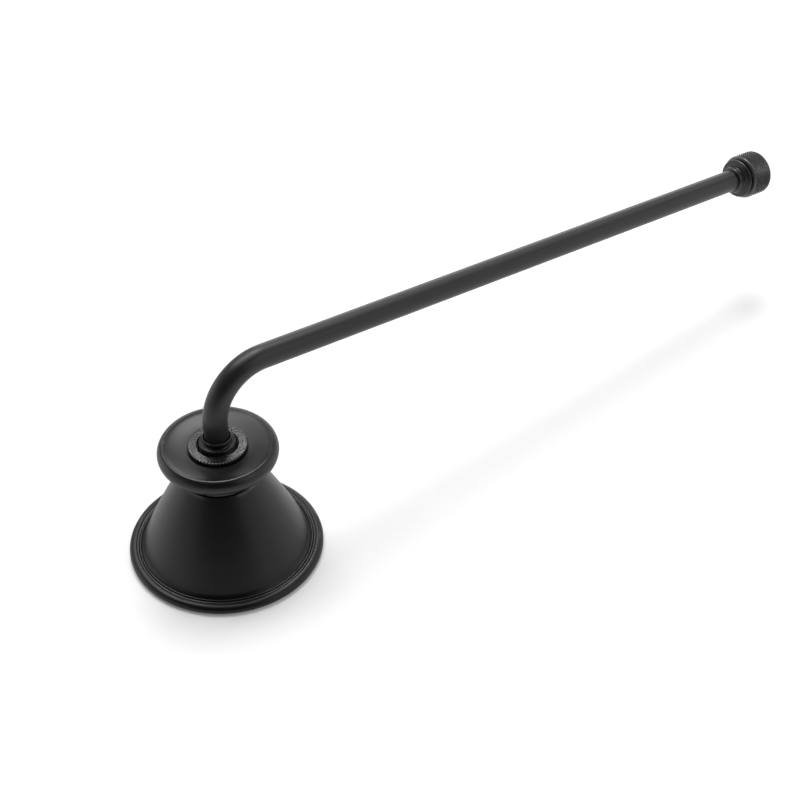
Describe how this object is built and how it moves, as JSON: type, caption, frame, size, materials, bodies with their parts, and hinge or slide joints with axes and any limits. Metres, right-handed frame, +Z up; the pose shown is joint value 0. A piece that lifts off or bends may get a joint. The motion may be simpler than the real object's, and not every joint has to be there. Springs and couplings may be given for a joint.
{
  "type": "candle snuffer",
  "caption": "Hand-held candle snuffer: hollow turned bell with a dished cap, which turns on a long bent round handle with a knurled knob at its end.",
  "frame": {"origin": "middle of the snuffer's extent along X and Y, on the surface that the bell's rim stands on", "axes": "+Z up along the bell's axis, +X from the bell along the handle to the knob"},
  "size_m": [0.21, 0.0482, 0.0566],
  "materials": {
    "black_steel": "satin",
    "black_aluminium": "satin",
    "black_oxide_steel": "satin",
    "zinc_steel": "satin",
    "black_rubber": "matte"
  },
  "bodies": {
    "head": {"bell": "black_steel", "bell_cap": "black_steel", "threaded_nipple": "black_oxide_steel", "inner_washer": "zinc_steel", "lock_nut": "zinc_steel"},
    "ring_nut": {"ring_nut": "black_steel"},
    "stem": {"handle_tube": "black_aluminium", "stem_collar": "black_aluminium", "foot_stud": "zinc_steel", "foot_washer": "zinc_steel", "foot_nut": "zinc_steel", "end_stud": "zinc_steel", "end_ferrule": "black_aluminium"},
    "knob_washer": {"knob_washer": "black_rubber"},
    "knob": {"knob": "black_aluminium"}
  },
  "joints": [
    {"name": "stem_swivel", "type": "hinge", "parent": "head", "child": "stem", "pos_m": [-0.08093, 0, 0.034], "axis": [0, 0, 1], "continuous": true},
    {"name": "ring_nut_turn", "type": "hinge", "parent": "head", "child": "ring_nut", "pos_m": [-0.08093, 0, 0.0337], "axis": [0, 0, 1], "range_deg": [0, 90]},
    {"name": "knob_travel", "type": "slide", "parent": "stem", "child": "knob_washer", "axis": [0.9933, 0, -0.1155], "range_m": [0, 0.0035]},
    {"name": "knob_turn", "type": "hinge", "parent": "knob_washer", "child": "knob", "pos_m": [0.09363, 0, 0.03486], "axis": [0.9933, 0, -0.1155], "range_deg": [0, 1800]}
  ],
  "couplings": [
    {"joint": "knob_turn", "follows": "knob_travel", "rad_per_m": 8976}
  ]
}
